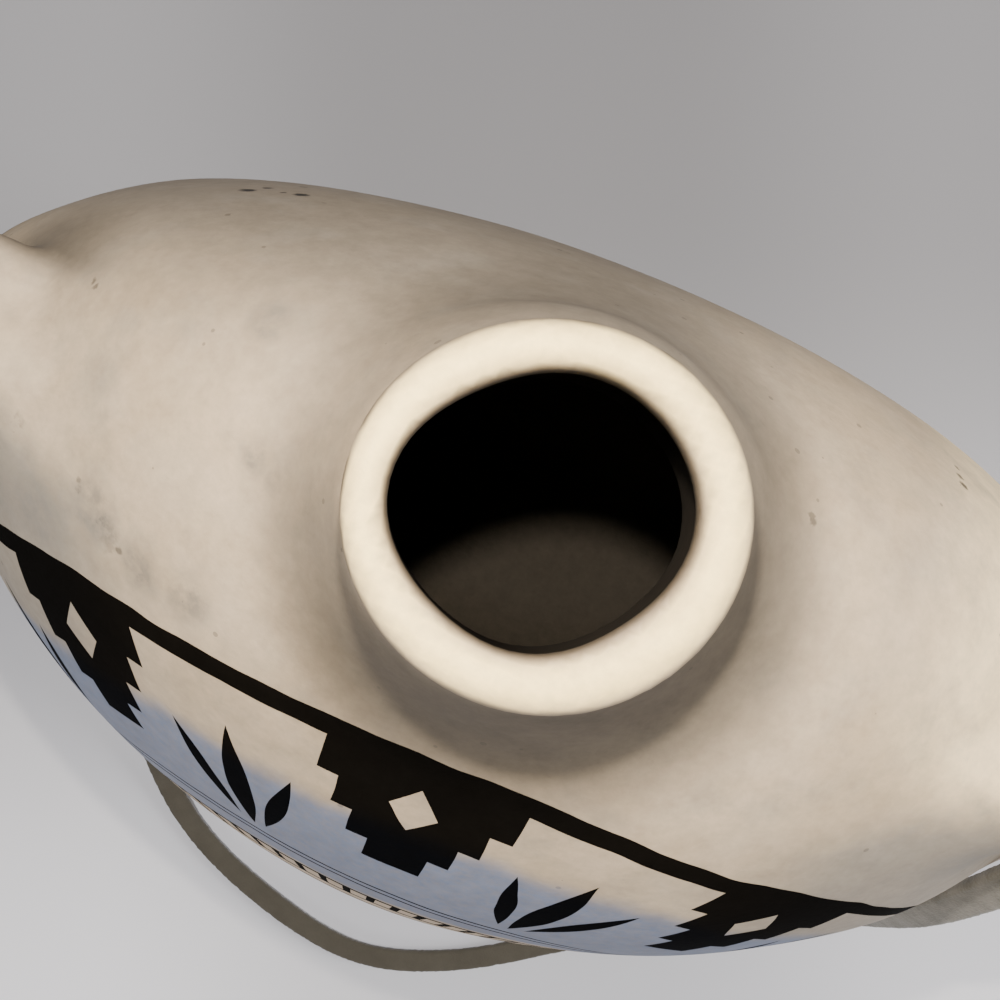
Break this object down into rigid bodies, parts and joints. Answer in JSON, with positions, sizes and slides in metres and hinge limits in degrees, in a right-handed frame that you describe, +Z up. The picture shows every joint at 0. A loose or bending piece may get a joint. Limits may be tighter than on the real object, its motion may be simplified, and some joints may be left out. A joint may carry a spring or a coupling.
{
  "type": "clay canteen",
  "caption": "Round flattened clay water canteen with a domed painted front, a short neck with a rounded lip, looped shoulder lugs and a flat suede carrying thong.",
  "frame": {"origin": "on the flat base under the neck, in the girth plane where the two bowls meet", "axes": "+Z up through the neck, +Y towards the shallow back, -Y towards the domed painted front, +X towards the right lug"},
  "size_m": [0.1908, 0.1444, 0.1879],
  "materials": {
    "cream_slip_clay": null,
    "cream_slip_clay_back": "fired clay with burnished cream slip",
    "cream_slip_clay_neck": "fired clay with burnished cream slip, worn smooth at the lip",
    "cream_slip_clay_lug": "fired clay with burnished cream slip",
    "grey_tan_suede": "soft suede with a short nap"
  },
  "bodies": {
    "root": {"front_shell": "cream_slip_clay", "back_shell": "cream_slip_clay_back", "neck": "cream_slip_clay_neck", "left_lug": "cream_slip_clay_lug", "right_lug": "cream_slip_clay_lug", "thong": "grey_tan_suede", "left_knot": "grey_tan_suede", "right_knot": "grey_tan_suede", "left_thong_end": "grey_tan_suede", "right_thong_end": "grey_tan_suede"}
  },
  "joints": []
}
